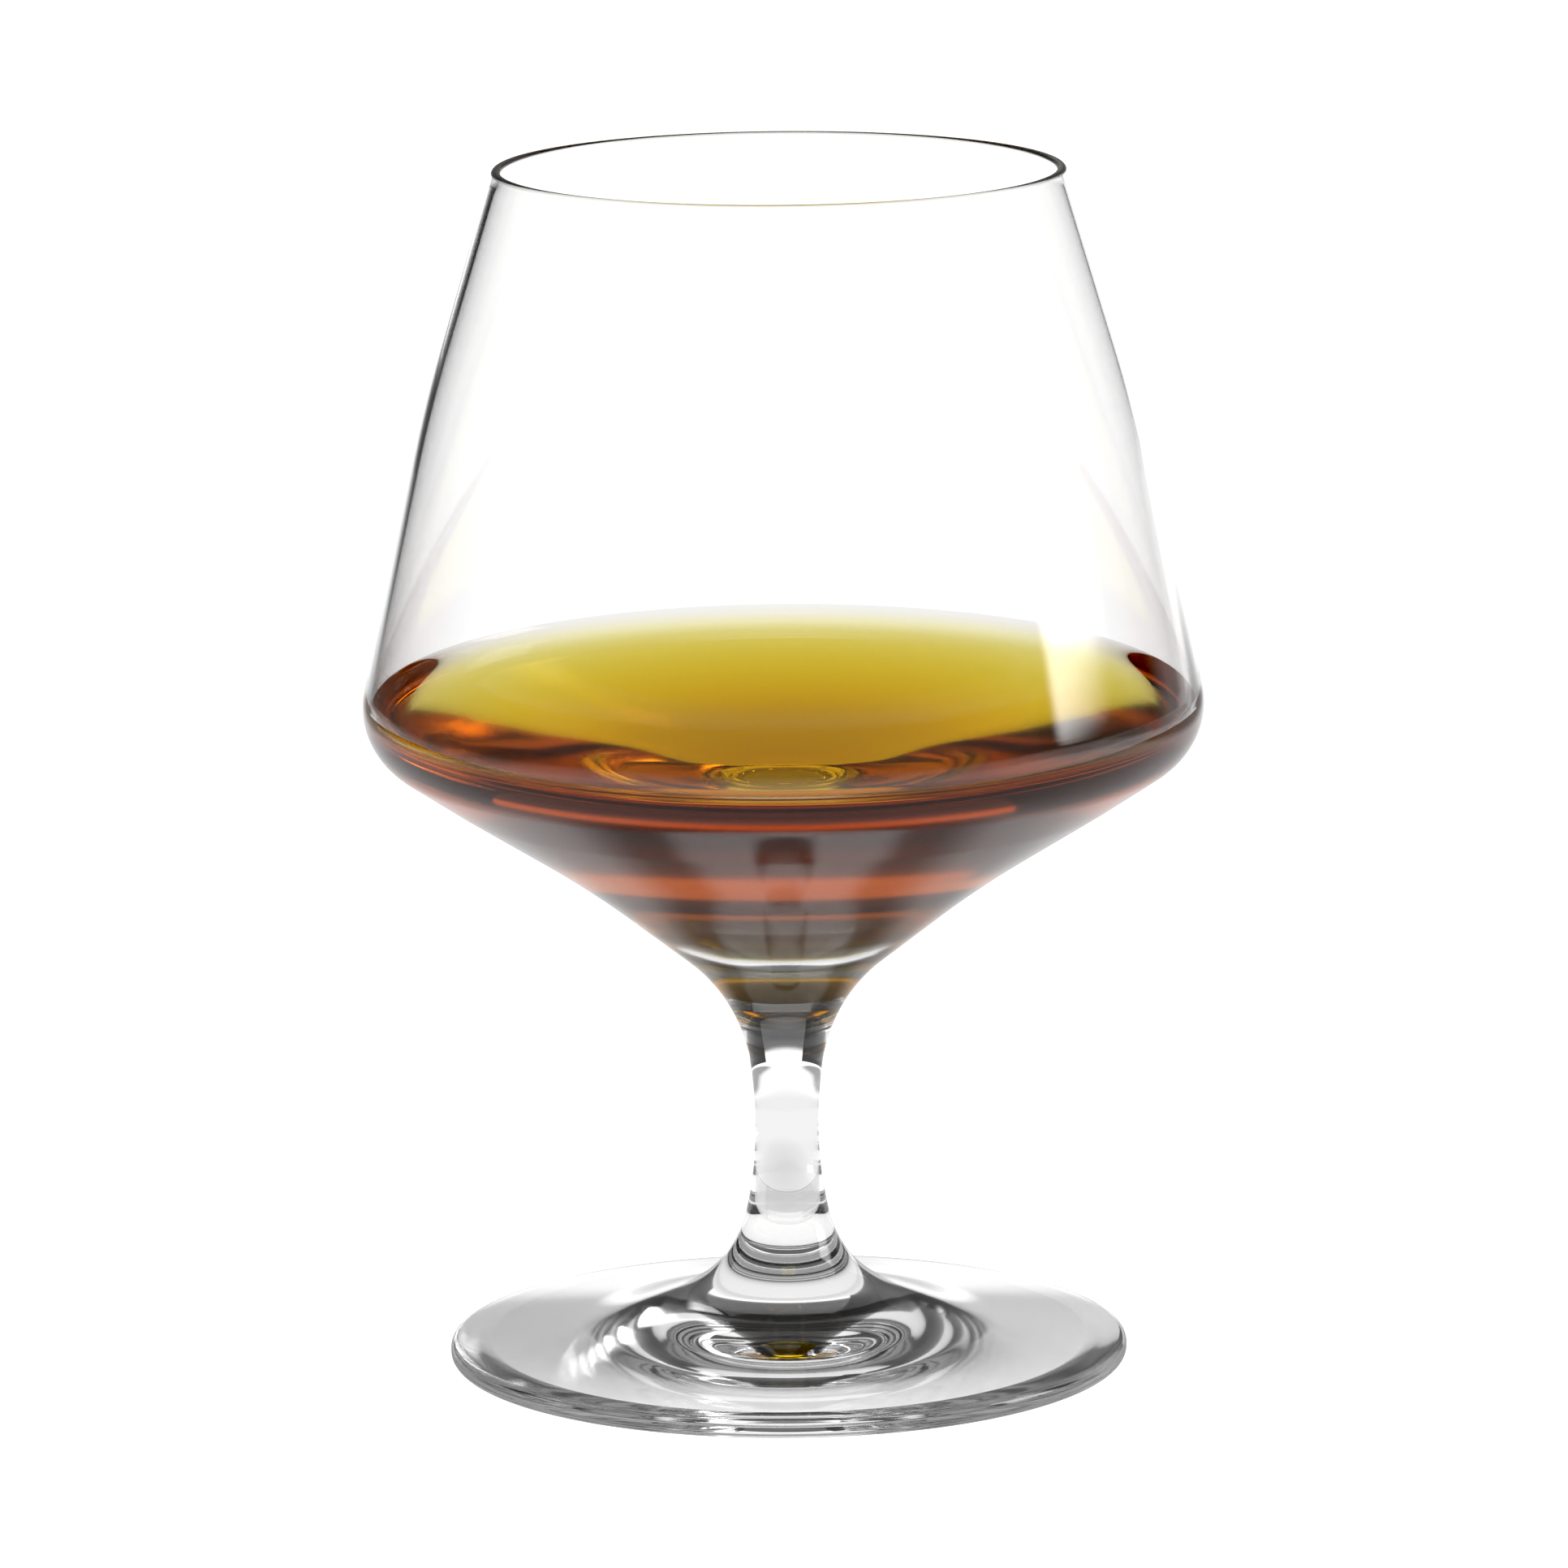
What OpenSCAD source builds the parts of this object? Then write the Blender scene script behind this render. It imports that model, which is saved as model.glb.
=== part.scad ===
// Brandy snifter with a measure of brandy, poured to about the widest part of its bowl.
// Millimetres. The glass stands on the XY plane, its axis is Z, and the origin is under its foot.
// Three pieces of hot glass are fused end to end: a blown bowl, a drawn stem and a spun foot.
// One outline runs down the outside of all three, so no seam has a step.
// Diameters and heights of bends are measured to the sharp corner, before its fillet rounds it.

/* [Bowl outside] */
// Height of the rim above the table
glass_h = 135; // [126:0.5:150]
// Outside diameter of the mouth
mouth_d = 63.4; // [56:0.2:72]
// Diameter at the gentle bend half way up the side
side_bend_d = 79.5; // [74:0.1:86]
// Height of the bend in the side
side_bend_z = 108.4; // [98:0.1:118]
// Radius that eases the bend in the side
side_bend_fillet = 168; // [40:1:400]
// Diameter of the shoulder, where the side meets the underside
shoulder_d = 95.9; // [90:0.1:104]
// Height of the shoulder
shoulder_z = 71.3; // [69:0.1:74]
// Radius of the rounded shoulder
shoulder_fillet = 8; // [3:0.1:10]
// Diameter at the slight bend below the shoulder
underside_bend_d = 74; // [66:0.2:80]
// Height of the bend below the shoulder
underside_bend_z = 64; // [61:0.1:66]
// Radius that eases the bend below the shoulder
underside_bend_fillet = 30; // [5:1:60]
// Diameter where the underside steepens towards the stem
throat_bend_d = 45.4; // [38:0.2:52]
// Height where the underside steepens towards the stem
throat_bend_z = 55; // [52:0.1:58]
// Radius that eases the bend towards the stem
throat_bend_fillet = 120; // [40:5:200]

/* [Bowl inside] */
// Wall thickness at the rim
rim_wall = 1.05; // [0.8:0.05:1.6]
// Wall thickness at the bend in the side
side_wall = 0.9; // [0.8:0.05:2]
// Wall thickness at the shoulder
shoulder_wall = 0.9; // [0.8:0.05:2.5]
// Wall thickness at the bend below the shoulder
underside_wall = 1.8; // [1:0.05:2.5]
// Wall thickness where the underside steepens
throat_wall = 1.4; // [1.2:0.1:3.5]
// Height of the bowl's inner floor above the table
floor_z = 50.9; // [47:0.1:52]
// Diameter of the bowl's inner floor
floor_d = 17; // [14:0.2:24]
// Radius between the inner floor and the wall
floor_fillet = 12; // [2:0.5:20]

/* [Stem] */
// Height of the seam between the bowl and the stem
bowl_seam_z = 42; // [38:0.1:45]
// Stem diameter where it flares into the bowl
stem_top_d = 9.4; // [8:0.1:12]
// Height where the stem flares into the bowl
stem_top_z = 40.8; // [38:0.1:43]
// Radius of the flare into the bowl
stem_top_fillet = 20; // [8:0.5:26]
// Stem diameter at its slimmest
stem_waist_d = 6.2; // [5:0.1:8]
// Height of the slimmest part of the stem
stem_waist_z = 23.9; // [20:0.1:28]
// Radius that eases the slimmest part of the stem
stem_waist_fillet = 54; // [20:1:80]

/* [Foot] */
// Height of the seam between the stem and the foot
foot_seam_z = 13; // [11:0.1:17]
// Diameter where the stem flares into the foot
foot_neck_d = 12.3; // [10:0.1:15]
// Height where the stem flares into the foot
foot_neck_z = 9.8; // [8:0.1:11]
// Radius of the flare into the foot
foot_neck_fillet = 12.6; // [4:0.2:16]
// Diameter where the foot's cone flattens into its plate
foot_cone_d = 41; // [34:0.2:50]
// Height where the cone flattens into the plate
foot_cone_z = 4.5; // [3.6:0.1:5.6]
// Radius that eases the cone into the plate
foot_cone_fillet = 30; // [10:1:60]
// Outside diameter of the foot
foot_d = 76.3; // [70:0.1:84]
// Thickness of the foot's plate at its edge
foot_edge_h = 2.2; // [1.6:0.1:3]
// Width of the ring that the foot rests on
rest_ring_w = 3.6; // [2:0.1:6]
// Height of the shallow hollow under the foot
foot_hollow_h = 1.5; // [0.5:0.1:2.4]

/* [Brandy] */
// Height of the brandy's level surface above the table
brandy_z = 73.7; // [72:0.1:90]
// Height that the brandy climbs the wall
meniscus_h = 2.3; // [1.2:0.1:2.4]
// Capillary length of brandy, which sets how far in from the wall its climb starts
capillary_l = 1.8; // [1.7:0.05:2.4]

/* [Hidden] */
$fn = 120;
// How far a cut runs past the surface that it cuts
overrun = 1;
// Largest turn, in degrees, between two points of an arc, and the fewest steps that an arc has
arc_step = 4;
least_steps = 4;
// A corner that turns less than this many degrees is left as it is
least_turn = 0.2;
// How many steps the curve of the brandy's edge has
meniscus_steps = 24;
// Share of the wall that each rounded edge of the rim takes
rim_round_share = 0.45;
// Share of the plate's edge that each of its rounded edges takes
foot_round_share = 0.45;
// Share of a side's length that the fillet at one of its ends may take
fillet_reach_share = 0.48;

rim_round = rim_wall * rim_round_share;
foot_round = foot_edge_h * foot_round_share;
reach_r = max(mouth_d, side_bend_d, shoulder_d, foot_d) / 2 + overrun;

// Corners of the outside, each as radius, height and fillet, from the table up to the rim
outside_corners = [
    [0, 0, 0],
    [foot_d / 2, 0, foot_round],
    [foot_d / 2, foot_edge_h, foot_round],
    [foot_cone_d / 2, foot_cone_z, foot_cone_fillet],
    [foot_neck_d / 2, foot_neck_z, foot_neck_fillet],
    [stem_waist_d / 2, stem_waist_z, stem_waist_fillet],
    [stem_top_d / 2, stem_top_z, stem_top_fillet],
    [throat_bend_d / 2, throat_bend_z, throat_bend_fillet],
    [underside_bend_d / 2, underside_bend_z, underside_bend_fillet],
    [shoulder_d / 2, shoulder_z, shoulder_fillet],
    [side_bend_d / 2, side_bend_z, side_bend_fillet],
    [mouth_d / 2, glass_h, rim_round],
    [0, glass_h, 0]
];
THROAT = 7;
UNDERSIDE = 8;
SHOULDER = 9;
SIDE = 10;

// Corners of the inside, from the middle of the floor up the wall and out over the rim
inside_corners = [
    [0, floor_z, 0],
    [floor_d / 2, floor_z, floor_fillet],
    inset_corner(THROAT, throat_wall),
    inset_corner(UNDERSIDE, underside_wall),
    inset_corner(SHOULDER, shoulder_wall),
    inset_corner(SIDE, side_wall),
    [mouth_d / 2 - rim_wall, glass_h, rim_round],
    [reach_r, glass_h, 0],
    [reach_r, glass_h + overrun, 0],
    [0, glass_h + overrun, 0]
];
INSIDE_SHOULDER = 4;
INSIDE_SIDE = 5;

// The foot's hollow is the top of a ball that meets the table at the inner edge of the rest ring
rest_ring_r = foot_d / 2 - foot_round - rest_ring_w;
foot_hollow_r = (rest_ring_r * rest_ring_r + foot_hollow_h * foot_hollow_h) / (2 * foot_hollow_h);
foot_hollow_angle = asin(rest_ring_r / foot_hollow_r);

// The brandy's edge has the curve of a liquid that wets a wall, steeper all the way up to this slope
meniscus_angle = 2 * asin(meniscus_h / (2 * capillary_l));
meniscus_r = inside_r(brandy_z + meniscus_h) + climb_w(meniscus_h);

function unit(v) = v / norm(v);

// A corner's place, without its fillet
function spot(corners, i) = let (c = corners[(i + len(corners)) % len(corners)]) [c.x, c.y];

// Directions from a corner to the corner before it and to the one after it
function to_last(corners, i) = unit(spot(corners, i - 1) - spot(corners, i));
function to_next(corners, i) = unit(spot(corners, i + 1) - spot(corners, i));

// Angle by which the outline turns at a corner: positive where it sticks out, negative where it goes in
function turn(corners, i) =
    let (a = -to_last(corners, i), b = to_next(corners, i))
    atan2(a.x * b.y - a.y * b.x, a * b);

// Distance from a corner to the ends of its arc, kept within the two sides that meet there
function arc_reach(corners, i) =
    min(
        corners[i].z * tan(abs(turn(corners, i)) / 2),
        fillet_reach_share * norm(spot(corners, i - 1) - spot(corners, i)),
        fillet_reach_share * norm(spot(corners, i + 1) - spot(corners, i))
    );

function arc_start(corners, i) = spot(corners, i) + arc_reach(corners, i) * to_last(corners, i);
function arc_end(corners, i) = spot(corners, i) + arc_reach(corners, i) * to_next(corners, i);
function arc_r(corners, i) = arc_reach(corners, i) / tan(abs(turn(corners, i)) / 2);

function arc_centre(corners, i) =
    let (bisector = unit(to_last(corners, i) + to_next(corners, i)))
    spot(corners, i) + norm([arc_r(corners, i), arc_reach(corners, i)]) * bisector;

// Points of an arc from one angle through a sweep, both in degrees
function arc_points(centre, r, from, sweep) =
    let (steps = max(least_steps, ceil(abs(sweep) / arc_step)))
    [for (k = [0 : steps]) let (angle = from + sweep * k / steps) centre + r * [cos(angle), sin(angle)]];

function corner_arc(corners, i) =
    let (centre = arc_centre(corners, i), spoke = arc_start(corners, i) - centre)
    arc_points(centre, arc_r(corners, i), atan2(spoke.y, spoke.x), turn(corners, i));

function is_rounded(corners, i) = corners[i].z > 0 && abs(turn(corners, i)) > least_turn;

// A list of corners as an outline in which every fillet is an arc
function rounded(corners) = [
    for (i = [0 : len(corners) - 1])
        each is_rounded(corners, i) ? corner_arc(corners, i) : [spot(corners, i)]
];

// A corner of the outside moved in by a wall, with a fillet that keeps the wall even round it
function inset_corner(i, wall) =
    let (
        angle = turn(outside_corners, i),
        back = to_last(outside_corners, i),
        inward = [back.y, -back.x],
        place = spot(outside_corners, i) + wall * (inward + tan(angle / 2) * back)
    )
    [place.x, place.y, max(outside_corners[i].z - sign(angle) * wall, 0)];

// Radius of the inside at a height on its rounded shoulder or on the side above that
function inside_r(z) =
    let (
        low = spot(inside_corners, INSIDE_SHOULDER),
        high = spot(inside_corners, INSIDE_SIDE),
        centre = arc_centre(inside_corners, INSIDE_SHOULDER),
        r = arc_r(inside_corners, INSIDE_SHOULDER)
    )
    z > arc_end(inside_corners, INSIDE_SHOULDER).y
        ? low.x + (high.x - low.x) * (z - low.y) / (high.y - low.y)
        : centre.x + sqrt(r * r - (z - centre.y) * (z - centre.y));

// How high the brandy has climbed where its surface slopes by an angle
function climb_h(slope) = 2 * capillary_l * sin(slope / 2);

// How far in from a common line the climb has a height, as surface tension and weight balance
function climb_w(h) =
    let (share = h / capillary_l, root = sqrt(4 - share * share))
    capillary_l * (ln((2 + root) / share) - root);

// Points of the climb, from almost level up to the wall
function climb_points() = [
    for (k = [1 : meniscus_steps])
        let (h = climb_h(meniscus_angle * k / meniscus_steps))
        [meniscus_r - climb_w(h), brandy_z + h]
];

// What an outline has between two heights
module band(corners, low_z, high_z) {
    intersection() {
        polygon(rounded(corners));
        translate([0, low_z]) square([reach_r, high_z - low_z]);
    }
}

// The air in the foot's hollow, down past the table
module foot_hollow() {
    centre = [0, foot_hollow_h - foot_hollow_r];
    polygon(concat(
        arc_points(centre, foot_hollow_r, 90 - foot_hollow_angle, foot_hollow_angle),
        [[0, -overrun], [rest_ring_r, -overrun]]
    ));
}

// The air over the brandy, with the curve of the meniscus at its edge
module air_over_brandy() {
    top_z = brandy_z + meniscus_h + overrun;
    climb = climb_points();
    polygon(concat(
        [[0, top_z], [0, brandy_z], [climb[0].x - capillary_l, brandy_z]],
        climb,
        [[reach_r, top_z]]
    ));
}

module bowl() {
    color([0.90, 0.94, 0.95, 0.35])
        rotate_extrude()
            difference() {
                band(outside_corners, bowl_seam_z, glass_h);
                polygon(rounded(inside_corners));
            }
}

module stem() {
    color([0.88, 0.93, 0.94, 0.35])
        rotate_extrude()
            band(outside_corners, foot_seam_z, bowl_seam_z);
}

module foot() {
    color([0.86, 0.92, 0.93, 0.35])
        rotate_extrude()
            difference() {
                band(outside_corners, 0, foot_seam_z);
                foot_hollow();
            }
}

module brandy() {
    color([0.80, 0.55, 0.12, 0.85])
        rotate_extrude()
            difference() {
                band(inside_corners, floor_z, brandy_z + meniscus_h + overrun);
                air_over_brandy();
            }
}

bowl();
stem();
foot();
brandy();
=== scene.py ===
# %% [markdown]
# # A brandy snifter on a light table
# A snifter is a short-stemmed glass with a wide belly and a narrow mouth. This one holds a measure of
# brandy up to its widest part. The lesson draws half of the glass's outline with straight strokes and
# arcs, turns it round like a potter, cuts the turned glass at the two welds, and pours the brandy. Glass
# shows hardly anything but its surroundings, so the light gets as much care as the shapes.

# %% Load the frame
import math
import bpy
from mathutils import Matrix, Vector


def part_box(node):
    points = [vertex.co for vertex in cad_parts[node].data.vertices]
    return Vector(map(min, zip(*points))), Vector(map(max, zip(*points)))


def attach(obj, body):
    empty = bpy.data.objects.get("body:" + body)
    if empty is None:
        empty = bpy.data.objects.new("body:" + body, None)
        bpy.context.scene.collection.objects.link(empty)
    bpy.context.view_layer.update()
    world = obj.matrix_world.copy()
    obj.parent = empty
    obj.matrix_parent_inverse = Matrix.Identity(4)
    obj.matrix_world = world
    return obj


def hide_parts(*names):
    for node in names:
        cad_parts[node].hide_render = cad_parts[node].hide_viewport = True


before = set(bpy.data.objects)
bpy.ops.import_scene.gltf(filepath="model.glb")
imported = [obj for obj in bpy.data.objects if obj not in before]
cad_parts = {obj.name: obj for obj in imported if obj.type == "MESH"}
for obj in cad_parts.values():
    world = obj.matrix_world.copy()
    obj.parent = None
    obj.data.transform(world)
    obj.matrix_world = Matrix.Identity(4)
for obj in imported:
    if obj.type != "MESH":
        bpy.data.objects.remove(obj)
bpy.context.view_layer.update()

print("nodes in the frame:", sorted(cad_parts))

# %% [markdown]
# ## The camera
# The photographer stood about a metre off with a long lens, a little above the rim, and held the camera
# a touch out of level. From that far, the ellipses of the rim and the foot are nearly alike. The lens and
# the place were found by matching those ellipses.

# %% Camera
CAMERA_AWAY = 1.078
CAMERA_HEIGHT = 0.27654
CAMERA_PITCH = math.radians(90 - 11.073)
CAMERA_ROLL = math.radians(-0.5)
SENSOR_WIDTH = 36.0
LENS = 225.6

bpy.ops.object.select_all(action="DESELECT")
bpy.ops.object.camera_add(location=(0, -CAMERA_AWAY, CAMERA_HEIGHT), rotation=(CAMERA_PITCH, 0, 0))
camera = bpy.context.object
camera.name = "camera"
camera.data.sensor_width = SENSOR_WIDTH
camera.data.lens = LENS
camera.rotation_euler.rotate_axis("Z", CAMERA_ROLL)
bpy.context.scene.camera = camera
print("camera sees", round(math.degrees(camera.data.angle), 2), "degrees")

# %% [markdown]
# ## Things that only glow
# Glass shows its surroundings, so the table, a card behind it and two panels at the right are made to
# glow by themselves. Lamps on a white floor would need many samples and leave spots of focused light. A
# glow is even, quick and free of noise, and it can fade softly from place to place.

# %% Glow helpers
def glow_material(name):
    """A material that only glows, with its tree, its glow and the object's own coordinates."""
    made = bpy.data.materials.new(name)
    made.use_nodes = True
    tree = made.node_tree
    tree.nodes.clear()
    out = tree.nodes.new("ShaderNodeOutputMaterial")
    glow = tree.nodes.new("ShaderNodeEmission")
    tree.links.new(glow.outputs["Emission"], out.inputs["Surface"])
    place = tree.nodes.new("ShaderNodeTexCoord")
    axes = tree.nodes.new("ShaderNodeSeparateXYZ")
    tree.links.new(place.outputs["Object"], axes.inputs["Vector"])
    return made, tree, glow, axes


def fade(tree, value, dark_at, light_at, darkest=0.0, lightest=1.0):
    """A share that climbs smoothly between two values of a coordinate."""
    ease = tree.nodes.new("ShaderNodeMapRange")
    ease.interpolation_type = "SMOOTHSTEP"
    ease.inputs["From Min"].default_value = dark_at
    ease.inputs["From Max"].default_value = light_at
    ease.inputs["To Min"].default_value = darkest
    ease.inputs["To Max"].default_value = lightest
    tree.links.new(value, ease.inputs["Value"])
    return ease.outputs["Result"]


def both(tree, operation, a, b):
    """One value made of two by an operation such as MULTIPLY or MAXIMUM."""
    joint = tree.nodes.new("ShaderNodeMath")
    joint.operation = operation
    tree.links.new(a, joint.inputs[0])
    tree.links.new(b, joint.inputs[1])
    return joint.outputs["Value"]


def with_number(tree, operation, value, number):
    """A value changed by a number, or compared with it."""
    step = tree.nodes.new("ShaderNodeMath")
    step.operation = operation
    step.inputs[1].default_value = number
    tree.links.new(value, step.inputs[0])
    return step.outputs["Value"]


print("glow helpers ready")

# %% [markdown]
# ## The light table
# Light that goes straight through clear glass stays as white as the table, and light that thick edges bend
# far aside comes from the dark, which draws the outline. A photographer trims such a table with masks that
# the picture doesn't show. Here shade is painted into the table's glow by the way that light took to it
# instead: full white straight to the camera, a soft painted shadow of the glass seen through the thin
# bowl, a painted grey ring through the solid stem, and painted dimness round the foot and at its edges for
# mirrored light. None of it depends on where the camera stands.

# %% What mirrored light and the stem see
ROOM_GREY = 0.035
TABLE_SIZE = 8.0
TABLE_WHITE = 1.3
TABLE_DIM = 2 * ROOM_GREY
TABLE_GAP = 0.00005
# Where mirrored light finds each edge dark and where it finds it light
TABLE_EDGES = {"left": (-0.42, -0.16), "right": (1.3, 0.5), "front": (-0.40, -0.15)}
# A painted shade round the foot for mirrored light: where it starts and ends to lighten, its darkest share
# and its share farther off
MIRROR_REACH = (0.036, 0.060)
MIRROR_SHADE_LEVEL = 0.35
MIRROR_FAR = 0.85
# Each soft painted shadow of the glass on the table as its middle, where it starts and ends to lighten,
# and its darkest share
PAINTED_TABLE_SHADES = (
    ((0.005, 0.058, 0), (0.0, 0.08), 0.68),
    ((0.0, 0.16, 0), (0.08, 0.25), 0.80),
    ((-0.045, 0.0, 0), (0.0, 0.05), 0.70),
)
# For light through one solid piece: two painted dark places that draw the stem's sides, a painted grey
# ring of shade, and a core near the axis that the painted shade round the foot leaves out
PAINTED_STEM_SIDES = (((-0.55, 0.45, 0), (0.30, 0.46), 0.25), ((0.55, 0.45, 0), (0.30, 0.46), 0.25))
STEM_RING_NEAR = (0.050, 0.036)
STEM_RING_FAR = (0.20, 0.32)
STEM_RING_LEVEL = 0.68
STEM_CORE_REACH = (0.032, 0.020)
STEM_CORE_LEVEL = 1.0


def far_from(tree, place):
    """How far a point of the table is from a place on it."""
    axes = next(node for node in tree.nodes if node.type == "SEPXYZ")
    spot = tree.nodes.new("ShaderNodeVectorMath")
    spot.operation = "DISTANCE"
    spot.inputs[1].default_value = place
    tree.links.new(axes.inputs["Vector"].links[0].from_socket, spot.inputs[0])
    return spot.outputs["Value"]


def shaded(tree, share, shades):
    """A share darkened by soft round painted shades."""
    for middle, reach, darkest in shades:
        share = both(tree, "MULTIPLY", share, fade(tree, far_from(tree, middle), *reach, darkest))
    return share


def mirror_share(tree, axes, far):
    """What mirrored light finds: a painted shade round the foot, and dim at both sides and in front."""
    share = fade(tree, far, *MIRROR_REACH, MIRROR_SHADE_LEVEL, MIRROR_FAR)
    for edge, axis in (("left", "X"), ("right", "X"), ("front", "Y")):
        share = both(tree, "MULTIPLY", share, fade(tree, axes.outputs[axis], *TABLE_EDGES[edge]))
    return share


def stem_share(tree, far):
    """What the solid stem gathers: a painted grey ring of shade on the table, with two painted dark places
    for its sides.
    """
    near_side = fade(tree, far, *STEM_RING_NEAR, STEM_RING_LEVEL)
    far_side = fade(tree, far, *STEM_RING_FAR, STEM_RING_LEVEL)
    return shaded(tree, both(tree, "MAXIMUM", near_side, far_side), PAINTED_STEM_SIDES)


print("table has", len(PAINTED_TABLE_SHADES), "soft shades")

# %% Lay the light table
ONCE_MIRRORED = 0.5
ONE_PIECE = 2.5


def glow_table():
    """The table's glow, with shade painted in by the way that light took to it."""
    made, tree, glow, axes = glow_material("light_table")
    ray = tree.nodes.new("ShaderNodeLightPath")
    far = far_from(tree, (0, 0, 0))
    straight = with_number(tree, "LESS_THAN", ray.outputs["Glossy Depth"], ONCE_MIRRORED)
    through_one = with_number(tree, "LESS_THAN", ray.outputs["Transmission Depth"], ONE_PIECE)
    through_more = with_number(tree, "GREATER_THAN", ray.outputs["Transmission Depth"], ONE_PIECE)
    core = fade(tree, far, *STEM_CORE_REACH, 0.0, STEM_CORE_LEVEL)
    core = both(tree, "MULTIPLY", through_one, core)
    share = both(tree, "MAXIMUM", mirror_share(tree, axes, far), core)
    # Soft painted shadows of the glass on the table, for all light but the camera's own
    share = shaded(tree, both(tree, "MAXIMUM", share, straight), PAINTED_TABLE_SHADES)
    stem_limit = both(tree, "MAXIMUM", stem_share(tree, far), through_more)
    share = both(tree, "MINIMUM", share, stem_limit)
    share = both(tree, "MAXIMUM", share, ray.outputs["Is Camera Ray"])
    level = tree.nodes.new("ShaderNodeMapRange")
    level.inputs["To Min"].default_value = TABLE_DIM
    level.inputs["To Max"].default_value = TABLE_WHITE
    tree.links.new(share, level.inputs["Value"])
    tree.links.new(level.outputs["Result"], glow.inputs["Strength"])
    return made


bpy.ops.object.select_all(action="DESELECT")
bpy.ops.mesh.primitive_plane_add(size=TABLE_SIZE, location=(0, 0, -TABLE_GAP))
table = bpy.context.object
table.name = "light_table"
table.data.materials.append(glow_table())
print("table glows between", TABLE_DIM, "and", TABLE_WHITE)

# %% [markdown]
# ## The back card and the dark room
# A card stands far behind the table and carries its white a hand's breadth up. Above that it darkens, and
# so does the room, because the brandy's surface mirrors them: a bright sky would wash its amber out.

# %% Back card and room
CARD_Y = 1.45
CARD_W = 1.1
CARD_H = 0.9
CARD_RIGHT = 0.10
# The card's grey at heights above the table
CARD_STOPS = (
    (0.0, 1.0), (0.113, 1.0), (0.15, 0.7), (0.19, 0.23),
    (0.22, 0.13), (0.331, 0.10), (0.491, 0.11), (0.9, 0.07),
)


def glow_card():
    """White at the table and darker with height."""
    made, tree, glow, axes = glow_material("back_card")
    ramp = tree.nodes.new("ShaderNodeValToRGB")
    stops = ramp.color_ramp.elements
    while len(stops) < len(CARD_STOPS):
        stops.new(1.0)
    for stop, (height, grey) in zip(stops, CARD_STOPS):
        stop.position = height / CARD_H
        stop.color = (grey, grey, grey, 1)
    height = tree.nodes.new("ShaderNodeMapRange")
    height.inputs["From Max"].default_value = CARD_H
    tree.links.new(axes.outputs["Z"], height.inputs["Value"])
    tree.links.new(height.outputs["Result"], ramp.inputs["Fac"])
    tree.links.new(ramp.outputs["Color"], glow.inputs["Color"])
    glow.inputs["Strength"].default_value = TABLE_WHITE
    return made


card_place = (CARD_RIGHT, CARD_Y, CARD_H / 2)
bpy.ops.object.select_all(action="DESELECT")
bpy.ops.mesh.primitive_plane_add(size=1, location=card_place, rotation=(math.pi / 2, 0, 0))
card = bpy.context.object
card.name = "back_card"
card.scale = (CARD_W, CARD_H, 1)
bpy.ops.object.transform_apply(location=True, rotation=True, scale=True)
card.data.materials.append(glow_card())

world = bpy.data.worlds.new("dark_room")
bpy.context.scene.world = world
world.use_nodes = True
world.node_tree.nodes["Background"].inputs["Color"].default_value = (ROOM_GREY, ROOM_GREY, ROOM_GREY, 1)
print("card is", CARD_H, "m tall, and the room glows at", ROOM_GREY)

# %% [markdown]
# ## Panels at the right and a light overhead
# A tall bright strip stands at the right and draws the pale upright mark on the belly. A paler wing behind
# it is there for mirrored light only, and keeps the right wall's edge light. A small light overhead gives
# the sparks in the thick glass. All three are hidden from the camera's own view.

# %% Strip and wing
STRIP_AT = (0.80, 0.0, 0.36)
STRIP_SIZE = (0.50, 0.60)
STRIP_GLOW = 5.5
STRIP_EDGES = {"left": (-0.25, -0.08), "right": (0.19, 0.125), "low": (-0.22, -0.16)}
WING_AT = (0.80, 1.0, 0.30)
WING_SIZE = (1.2, 0.60)
WING_GLOW = 0.55
WING_EDGES = {"left": (-0.60, -0.35), "right": (0.60, 0.30), "low": (-0.31, -0.30)}


def glow_panel(name, edges, brightness):
    """Bright in the middle, and softer towards its sides and its foot."""
    made, tree, glow, axes = glow_material(name)
    left = fade(tree, axes.outputs["X"], *edges["left"])
    right = fade(tree, axes.outputs["X"], *edges["right"])
    low = fade(tree, axes.outputs["Y"], *edges["low"])
    share = both(tree, "MULTIPLY", both(tree, "MULTIPLY", left, right), low)
    tree.links.new(with_number(tree, "MULTIPLY", share, brightness), glow.inputs["Strength"])
    return made


def stand_panel(name, place, size, edges, brightness):
    """A glowing panel that stands at the right and faces left."""
    turn = Vector((-1, 0, 0)).to_track_quat("Z", "Y").to_euler()
    bpy.ops.object.select_all(action="DESELECT")
    bpy.ops.mesh.primitive_plane_add(size=1, location=place, rotation=turn)
    panel = bpy.context.object
    panel.name = name
    panel.scale = (*size, 1)
    bpy.ops.object.transform_apply(location=False, rotation=False, scale=True)
    panel.data.materials.append(glow_panel(name, edges, brightness))
    panel.visible_camera = False
    print(name, "is", size[0], "m wide and", size[1], "m tall")
    return panel


stand_panel("strip_card", STRIP_AT, STRIP_SIZE, STRIP_EDGES, STRIP_GLOW)
wing = stand_panel("wing_card", WING_AT, WING_SIZE, WING_EDGES, WING_GLOW)
wing.visible_transmission = False

# %% Light overhead
TOP_AT = Vector((0.0, -0.15, 0.95))
TOP_SIZE = (0.15, 0.1)
TOP_GLOW = 3.0

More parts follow.
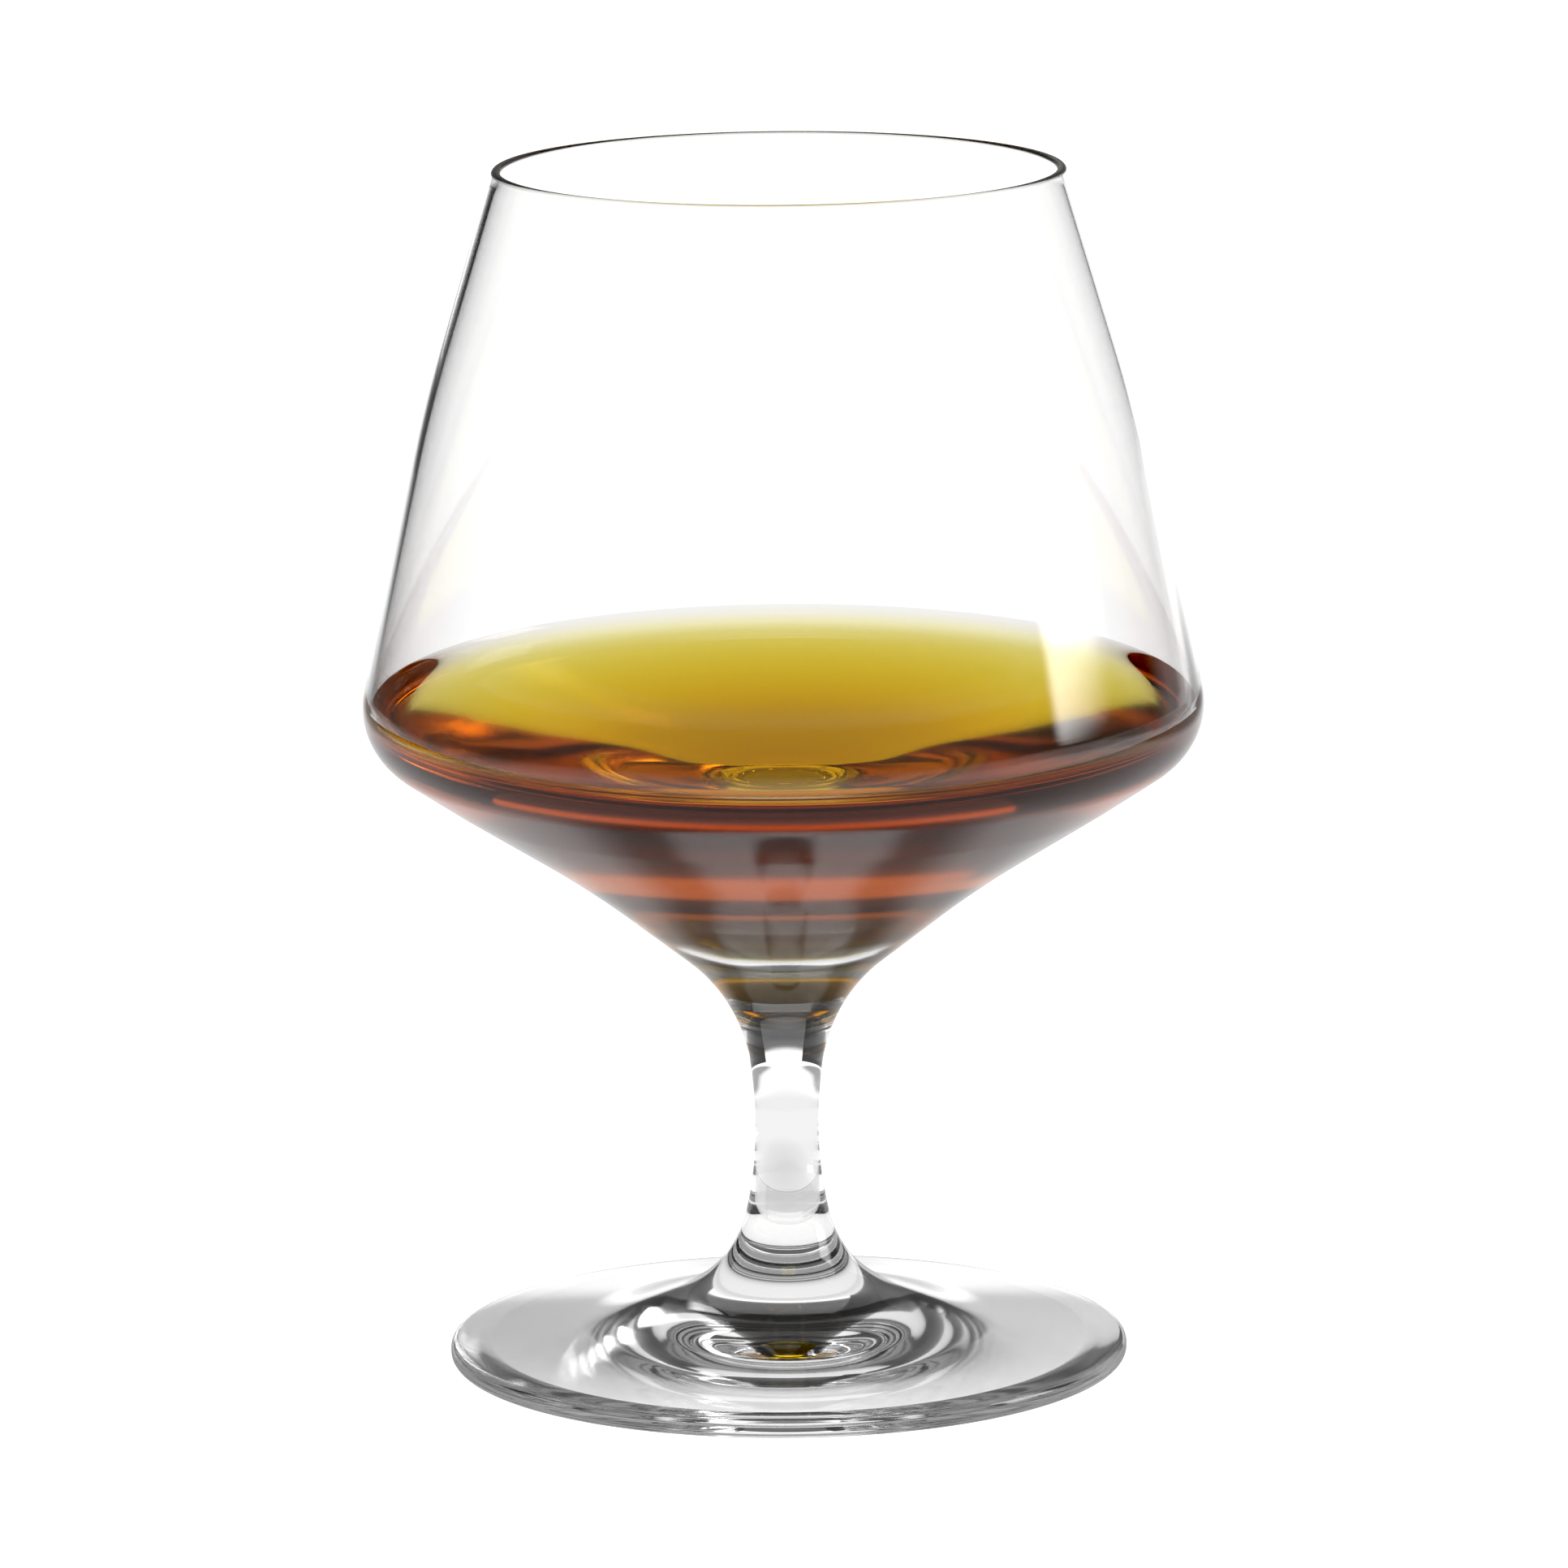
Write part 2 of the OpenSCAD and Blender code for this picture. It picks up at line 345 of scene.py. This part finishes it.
top_turn = (-TOP_AT).to_track_quat("-Z", "Y").to_euler()
bpy.ops.object.light_add(type="AREA", location=TOP_AT, rotation=top_turn)
top_light = bpy.context.object
top_light.name = "overhead_light"
top_light.data.shape = "RECTANGLE"
top_light.data.size, top_light.data.size_y = TOP_SIZE
top_light.data.energy = TOP_GLOW * math.pi * TOP_SIZE[0] * TOP_SIZE[1]
top_light.visible_camera = False
print("overhead light has", round(top_light.data.energy, 3), "watts")

# %% [markdown]
# ## Sizes of the outline
# The glass is round, so half of its outline says everything. Each corner has a radius, a height and the
# fillet that rounds it. What the frame already knows, such as the height of the rim and of the welds, is
# read from the frame's boxes, so that the looks can't drift from the part.

# %% Outline corners
foot_low, foot_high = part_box("foot")
bowl_low, bowl_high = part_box("bowl")
brandy_low, brandy_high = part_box("brandy")
RIM_Z = bowl_high.z
BOWL_WELD_Z = bowl_low.z
FOOT_WELD_Z = foot_high.z
FLOOR_Z = brandy_low.z
CONTACT_Z = brandy_high.z
BRANDY_TILT = math.radians(2.5)
FOOT_R = (foot_high.x - foot_low.x) / 2
FOOT_EDGE_H = 0.0022
FOOT_ROUND = 0.00099
REST_RING_W = 0.0036
HOLLOW_H = 0.0015
MOUTH_R = 0.0317
RIM_WALL = 0.00105
RIM_ROUND = 0.00047
FLOOR_R = 0.0135
FLOOR_DISH = 0.0032
FLOOR_FILLET = 0.010
FLOOR_FLAT_R = 0.004
FLOOR_FLAT_FILLET = 0.018

# Each bend as radius, height, fillet and the wall's thickness there
THROAT = (0.0227, 0.055, 0.120, 0.0014)
UNDERSIDE = (0.037, 0.064, 0.030, 0.0018)
SHOULDER = (0.04795, 0.0713, 0.008, 0.0009)
SIDE = (0.03975, 0.1084, 0.168, 0.0009)
BOWL_BENDS = (THROAT, UNDERSIDE, SHOULDER, SIDE)

# Corners from the foot's edge up the stem, each as radius, height and fillet
rest_ring_r = FOOT_R - FOOT_ROUND - REST_RING_W
stem_and_foot = [
    (FOOT_R, 0, FOOT_ROUND),
    (FOOT_R, FOOT_EDGE_H, FOOT_ROUND),
    (0.0205, 0.0045, 0.030),
    (0.00615, 0.0098, 0.0126),
    (0.0031, 0.0239, 0.054),
    (0.0047, 0.0408, 0.020),
]
print("rim at", round(RIM_Z * 1000, 1), "mm")
print("welds at", round(BOWL_WELD_Z * 1000, 1), "and", round(FOOT_WELD_Z * 1000, 1), "mm")

# %% [markdown]
# ## A pen of straight strokes and arcs
# A draughtsman draws such an outline with a ruler and compasses. Here a small plane is merged into one
# point, the point is extruded along the straight strokes, and spin swings it round an arc's centre. A
# Bezier curve would be quicker to draw, but its bends aren't true arcs, and glass shows every flaw.

# %% Rounded corners
REACH_SHARE = 0.48


def turn_at(before, corner, after):
    """The signed turn of the outline at a corner: positive to the left."""
    a = corner - before
    b = after - corner
    return math.atan2(a.x * b.y - a.y * b.x, a.dot(b))


def rounded(corners):
    """Strokes along corners of (radius, height, fillet): each is its end, its centre or None, its turn."""
    spots = [Vector(corner[:2]) for corner in corners]
    strokes = []
    for i, corner in enumerate(corners):
        if i in (0, len(corners) - 1) or corner[2] == 0:
            strokes.append((spots[i], None, 0))
            continue
        to_last = spots[i - 1] - spots[i]
        to_next = spots[i + 1] - spots[i]
        turn = turn_at(spots[i - 1], spots[i], spots[i + 1])
        room = REACH_SHARE * min(to_last.length, to_next.length)
        reach = min(corner[2] * math.tan(abs(turn) / 2), room)
        radius = reach / math.tan(abs(turn) / 2)
        bisector = (to_last.normalized() + to_next.normalized()).normalized()
        centre = spots[i] + bisector * math.hypot(radius, reach)
        strokes.append((spots[i] + to_last.normalized() * reach, None, 0))
        strokes.append((spots[i] + to_next.normalized() * reach, centre, turn))
    return strokes


def inset(before, bend, after, extra=0.0):
    """A bend of the outside moved in by its wall, with the fillet that keeps the wall even."""
    corner = Vector(bend[:2])
    wall = bend[3] + extra
    turn = turn_at(Vector(before[:2]), corner, Vector(after[:2]))
    back = (Vector(before[:2]) - corner).normalized()
    inward = Vector((back.y, -back.x))
    place = corner + wall * (inward + math.tan(turn / 2) * back)
    return (place.x, place.y, max(bend[2] - math.copysign(wall, turn), 0))


shoulder_turn = turn_at(*[Vector(bend[:2]) for bend in (UNDERSIDE, SHOULDER, SIDE)])
print("the shoulder turns by", round(math.degrees(shoulder_turn)), "degrees")


# %% The pen
LINE_GAP = 0.0016
ARC_GAP = 0.00036
LEAST_ARC_STEPS = 10


def pen_down(name, radius, height):
    """A new object that is one point, ready to be extruded."""
    bpy.ops.object.select_all(action="DESELECT")
    bpy.ops.mesh.primitive_plane_add(size=LINE_GAP, location=(radius, 0, height))
    made = bpy.context.object
    made.name = name
    bpy.ops.object.transform_apply(location=True, rotation=True, scale=True)
    bpy.ops.object.mode_set(mode="EDIT")
    bpy.ops.mesh.select_mode(type="VERT")
    bpy.ops.mesh.select_all(action="SELECT")
    bpy.ops.mesh.merge(type="CENTER")
    return made


def draw(strokes, start):
    """Extrude and spin the selected point along strokes, and return where it ends."""
    at = Vector(start)
    for end, centre, turn in strokes:
        gap = end - at
        if centre is None:
            steps = max(1, math.ceil(gap.length / LINE_GAP))
            step = gap / steps
            for _ in range(steps if gap.length > 0 else 0):
                bpy.ops.mesh.extrude_region_move(TRANSFORM_OT_translate={"value": (step.x, 0, step.y)})
        else:
            length = abs(turn) * (end - centre).length
            steps = max(LEAST_ARC_STEPS, math.ceil(length / ARC_GAP))
            bpy.ops.mesh.spin(steps=steps, angle=turn, center=(centre.x, 0, centre.y), axis=(0, 1, 0))
        at = end
    return at


print("the pen steps", LINE_GAP * 1000, "mm along lines and", ARC_GAP * 1000, "mm along arcs")


# %% One turn round the axis
TURN_STEPS = 240
WELD_GAP = 1e-7


def turn_round():
    """Spin the half outline that was just drawn once round the glass's axis and close it."""
    bpy.ops.mesh.select_all(action="SELECT")
    bpy.ops.mesh.spin(steps=TURN_STEPS, angle=2 * math.pi, center=(0, 0, 0), axis=(0, 0, 1))
    bpy.ops.mesh.select_all(action="SELECT")
    bpy.ops.mesh.remove_doubles(threshold=WELD_GAP)
    bpy.ops.mesh.normals_make_consistent(inside=False)
    bpy.ops.object.mode_set(mode="OBJECT")


print("one turn takes", TURN_STEPS, "steps")

# %% [markdown]
# ## The whole glass
# The outside runs from under the foot up to the rim, and the inside from the rim down to the floor of the
# bowl, which is slightly dished. The underside of the foot is hollow, so that the glass stands on a ring
# and doesn't rock. A last cut, which takes nothing away, draws a line where the brandy meets the wall,
# because the finish changes there. The glass was photographed a little out of plumb, so that line leans.

# %% Turn the glass
hollow_r = (rest_ring_r ** 2 + HOLLOW_H ** 2) / (2 * HOLLOW_H)
hollow_turn = math.asin(rest_ring_r / hollow_r)
hollow_centre = Vector((0, HOLLOW_H - hollow_r))


def bowl_inside(extra=0.0):
    """Corners of the bowl's inside, from the side bend down to the middle of the floor."""
    chain = [stem_and_foot[-1], *BOWL_BENDS, (MOUTH_R, RIM_Z)]
    bends = [inset(chain[i - 1], chain[i], chain[i + 1], extra) for i in range(1, len(chain) - 1)]
    floor = FLOOR_Z + extra
    edge = (FLOOR_R, floor + FLOOR_DISH, FLOOR_FILLET)
    flat = (FLOOR_FLAT_R, floor, FLOOR_FLAT_FILLET)
    return [*reversed(bends), edge, flat, (0, floor, 0)]


inside = bowl_inside()
glass_corners = [
    (rest_ring_r, 0, 0),
    *stem_and_foot,
    *[bend[:3] for bend in BOWL_BENDS],
    (MOUTH_R, RIM_Z, RIM_ROUND),
    (MOUTH_R - RIM_WALL, RIM_Z, RIM_ROUND),
    *inside,
]
glass = pen_down("glass", 0, HOLLOW_H)
under = [(Vector((rest_ring_r, 0)), hollow_centre, -hollow_turn)]
ring_edge = draw(under, (0, HOLLOW_H))
draw(rounded(glass_corners)[1:], ring_edge)
turn_round()
contact_middle = Vector((0, 0, CONTACT_Z))
upright = Vector((0, -math.sin(BRANDY_TILT), math.cos(BRANDY_TILT)))
bpy.ops.object.mode_set(mode="EDIT")
bpy.ops.mesh.select_all(action="SELECT")
bpy.ops.mesh.bisect(plane_co=contact_middle, plane_no=upright, threshold=WELD_GAP)
bpy.ops.object.mode_set(mode="OBJECT")
print("whole glass:", len(glass.data.polygons), "faces")

# %% [markdown]
# ## Cut at the welds
# A glassmaker blows the bowl, draws the stem and spins the foot, and welds the three while they are hot.
# Cutting the turned glass with bisect keeps one unbroken outline across the welds. Each cut is closed with
# a flat face, and three separate closed pieces come out of it.

# %% Cut bowl, stem and foot
SMOOTH_UNDER = math.radians(40)


def cut_piece(name, low_z, high_z):
    """A copy of the whole glass between two heights, closed where it is cut."""
    bpy.ops.object.select_all(action="DESELECT")
    glass.select_set(True)
    bpy.context.view_layer.objects.active = glass
    bpy.ops.object.duplicate()
    made = bpy.context.object
    made.name = name
    bpy.ops.object.mode_set(mode="EDIT")
    for height, above in ((low_z, True), (high_z, False)):
        if height is None:
            continue
        bpy.ops.mesh.select_all(action="SELECT")
        bpy.ops.mesh.bisect(
            plane_co=(0, 0, height), plane_no=(0, 0, 1), use_fill=True,
            clear_inner=above, clear_outer=not above, threshold=WELD_GAP,
        )
    bpy.ops.object.mode_set(mode="OBJECT")
    bpy.ops.object.shade_smooth_by_angle(angle=SMOOTH_UNDER)
    print(name, "has", len(made.data.polygons), "faces")
    return made


bowl = cut_piece("glass_bowl", BOWL_WELD_Z, None)
stem = cut_piece("glass_stem", FOOT_WELD_Z, BOWL_WELD_Z)
foot = cut_piece("glass_foot", None, FOOT_WELD_Z)
bpy.data.objects.remove(glass)

# %% [markdown]
# ## The brandy
# Brandy wets clean glass, so its edge climbs the wall in a small curve, the meniscus. Its wall follows the
# inside of the bowl a hair's breadth away, drawn with the same corners, so it fits with no boolean. The
# turned wall is cut by the same leaning plane as the glass, and its open edge is extruded inwards ring by
# ring, each smaller and lower than the last, until the surface is flat and closes in the middle.

# %% Pour the brandy
FILM = 0.00001
BRIM_SHARE = 0.15
wall = rounded(bowl_inside(FILM))
brim = wall[1][0].lerp(wall[0][0], BRIM_SHARE)
brandy = pen_down("brandy_measure", brim.x, brim.y)
draw(wall[1:], brim)
turn_round()
bpy.ops.object.mode_set(mode="EDIT")
bpy.ops.mesh.select_all(action="SELECT")
bpy.ops.mesh.bisect(plane_co=contact_middle, plane_no=upright, clear_outer=True, threshold=WELD_GAP)
bpy.ops.object.mode_set(mode="OBJECT")
contact_r = max(vertex.co.x for vertex in brandy.data.vertices if vertex.select)
print("the brandy meets the wall", round(contact_r * 1000, 2), "mm from the axis")


# %% Draw the brandy's edge inwards
MENISCUS_H = 0.0023
CAPILLARY = 0.0018
CLIMB_STEPS = 40
LEVEL_RINGS = (0.8, 0.5, 0.2)


def climb_run(lift):
    """How far in from a common line the brandy's edge has a lift over the level surface."""
    share = lift / CAPILLARY
    return CAPILLARY * (math.acosh(2 / share) - math.sqrt(4 - share * share))


steepest = 2 * math.asin(MENISCUS_H / (2 * CAPILLARY))
lifts = [2 * CAPILLARY * math.sin(steepest * k / CLIMB_STEPS / 2) for k in range(CLIMB_STEPS - 1, 0, -1)]
rings = [(contact_r + climb_run(MENISCUS_H) - climb_run(lift), lift) for lift in lifts]
level_r = rings[-1][0] - CAPILLARY
rings.append((level_r, 0.0))
rings.extend((level_r * share, 0.0) for share in LEVEL_RINGS)
ring_r, ring_lift = contact_r, MENISCUS_H
bpy.ops.object.mode_set(mode="EDIT")
for radius, lift in rings:
    step = upright * (lift - ring_lift)
    bpy.ops.mesh.extrude_region_move(TRANSFORM_OT_translate={"value": step})
    middle = contact_middle + upright * (lift - MENISCUS_H)
    bpy.ops.transform.resize(value=(radius / ring_r,) * 3, center_override=middle)
    ring_r, ring_lift = radius, lift
bpy.ops.mesh.extrude_region_move(TRANSFORM_OT_translate={"value": (0, 0, 0)})
bpy.ops.mesh.merge(type="CENTER")
bpy.ops.mesh.select_all(action="SELECT")
bpy.ops.mesh.normals_make_consistent(inside=False)
bpy.ops.object.mode_set(mode="OBJECT")
bpy.ops.object.shade_smooth_by_angle(angle=SMOOTH_UNDER)
print("brandy has", len(brandy.data.polygons), "faces")
print("its flat surface is", round(MENISCUS_H * 1000, 2), "mm below its edge")

# %% [markdown]
# ## Clear glass
# Soda-lime glass bends light by 1.52. It isn't perfectly even: hot glass keeps a faint waviness, which a
# very small bump on object coordinates gives. The rim is cut and melted round, the underside of the bowl
# touched a mould and the top of the foot was spun, so these are less smooth than the blown wall. Where
# a piece of glass meets another, or the brandy, there is no air between them and so nothing to see: those
# faces get a finish that lets light pass unchanged.

# %% Glass finishes
GLASS_BEND = 1.52
WAVE_SCALE = 60.0
WAVE_DEPTH = 0.000004
RIM_ROUGH = 0.3
MOULD_ROUGH = 0.12
FOOT_ROUGH = 0.05


def principled(name):
    """A new material with its tree and its Principled shader."""
    made = bpy.data.materials.new(name)
    made.use_nodes = True
    return made, made.node_tree, made.node_tree.nodes["Principled BSDF"]


def clear_glass(name, roughness):
    """Clear glass with a faint waviness."""
    made, tree, shader = principled(name)
    shader.inputs["Base Color"].default_value = (1, 1, 1, 1)
    shader.inputs["Transmission Weight"].default_value = 1
    shader.inputs["IOR"].default_value = GLASS_BEND
    shader.inputs["Roughness"].default_value = roughness
    place = tree.nodes.new("ShaderNodeTexCoord")
    wave = tree.nodes.new("ShaderNodeTexNoise")
    wave.inputs["Scale"].default_value = WAVE_SCALE
    wave.inputs["Detail"].default_value = 1
    bump = tree.nodes.new("ShaderNodeBump")
    bump.inputs["Distance"].default_value = WAVE_DEPTH
    tree.links.new(place.outputs["Object"], wave.inputs["Vector"])
    tree.links.new(wave.outputs["Fac"], bump.inputs["Height"])
    tree.links.new(bump.outputs["Normal"], shader.inputs["Normal"])
    return made


def no_air():
    """A face with no air behind it, which light passes unchanged."""
    made, _, shader = principled("no_air_between")
    shader.inputs["Alpha"].default_value = 0
    return made


glass_finish = clear_glass("clear_glass", 0.0)
rim_finish = clear_glass("polished_rim", RIM_ROUGH)
mould_finish = clear_glass("moulded_glass", MOULD_ROUGH)
spun_finish = clear_glass("spun_glass", FOOT_ROUGH)
joined_finish = no_air()
print("five finishes made")

# %% A finish for each face
FLOOR_LEAN = 0.5
MOULD_Z = 0.0705
SPUN_LEAN = 0.6


def face_finish(piece, face):
    """The finish of one face of the glass, by its place and the way it points."""
    middle = face.center
    outward = Vector((middle.x, middle.y, 0)).normalized()
    welded = any(abs(middle.z - z) < WELD_GAP for z in (BOWL_WELD_Z, FOOT_WELD_Z))
    faces_in = face.normal.dot(outward) < 0 or face.normal.z > FLOOR_LEAN
    wet = piece == bowl and (middle - contact_middle).dot(upright) < 0 and faces_in
    if welded or wet:
        return joined_finish
    if middle.z > RIM_Z - RIM_ROUND:
        return rim_finish
    if piece == bowl and middle.z < MOULD_Z:
        return mould_finish
    if piece == foot and face.normal.z > SPUN_LEAN:
        return spun_finish
    return glass_finish


for piece in (bowl, stem, foot):
    finishes = piece.data.materials
    finishes.append(glass_finish)
    for face in piece.data.polygons:
        finish = face_finish(piece, face)
        if finish.name not in finishes:
            finishes.append(finish)
        face.material_index = finishes.find(finish.name)
    print(piece.name, "has the finishes", [finish.name for finish in finishes])

# %% [markdown]
# ## Brandy
# Brandy takes its amber from the cask: it swallows blue first, then green, so a thin layer is yellow and a
# thick one is brown. Absorption through the body gives that by itself. Its free surface bends light by
# 1.36, and its wall only by the step from glass to brandy, so an attribute holds the bend of each face.

# %% Brandy finish
BRANDY_BEND = 1.36
BRANDY_SWALLOWS = (11.0, 34.5, 250.0)


def amber():
    """Amber brandy whose colour deepens with the way that light goes through it."""
    made, tree, shader = principled("amber_brandy")
    shader.inputs["Base Color"].default_value = (1, 1, 1, 1)
    shader.inputs["Transmission Weight"].default_value = 1
    shader.inputs["Roughness"].default_value = 0
    shader.inputs["IOR"].default_value = BRANDY_BEND
    bend = tree.nodes.new("ShaderNodeAttribute")
    bend.attribute_name = "bend"
    tree.links.new(bend.outputs["Fac"], shader.inputs["IOR"])
    body = tree.nodes.new("ShaderNodeVolumeAbsorption")
    density = max(BRANDY_SWALLOWS)
    body.inputs["Color"].default_value = (*[1 - taken / density for taken in BRANDY_SWALLOWS], 1)
    body.inputs["Density"].default_value = density
    tree.links.new(body.outputs["Volume"], tree.nodes["Material Output"].inputs["Volume"])
    return made


brandy.data.materials.append(amber())
LEAN_MARGIN = 0.01
FREE_LEAN = math.sin(BRANDY_TILT) + LEAN_MARGIN
bend = brandy.data.attributes.new("bend", "FLOAT", "FACE")
for face in brandy.data.polygons:
    middle = face.center
    outward = Vector((middle.x, middle.y, 0)).normalized()
    free = face.normal.z > 0 and face.normal.dot(outward) <= FREE_LEAN
    bend.data[face.index].value = BRANDY_BEND if free else BRANDY_BEND / GLASS_BEND
print("free faces:", sum(item.value > 1 for item in bend.data))

# %% [markdown]
# ## Put the pieces on the part
# Nothing on a glass moves, so every piece rides on the part's one body and stands in for its own solid.
# The picture keeps plain colours, and light gets enough bounces to find its way out of the glass.

# %% Ride, replace and finish
BOUNCES = 48
BLACK_LEVEL = 0.02
for piece, node, slot in (
    (bowl, "bowl", "clear_glass"),
    (stem, "stem", "clear_glass"),
    (foot, "foot", "clear_glass"),
    (brandy, "brandy", "brandy"),
):
    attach(piece, "root")
    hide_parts(node)

scene = bpy.context.scene
scene.view_settings.view_transform = "Standard"
scene.view_settings.use_curve_mapping = True
scene.view_settings.curve_mapping.black_level = (BLACK_LEVEL, BLACK_LEVEL, BLACK_LEVEL)
scene.view_settings.curve_mapping.update()
scene.cycles.max_bounces = BOUNCES
scene.cycles.transmission_bounces = BOUNCES
scene.cycles.glossy_bounces = BOUNCES
scene.cycles.transparent_max_bounces = BOUNCES
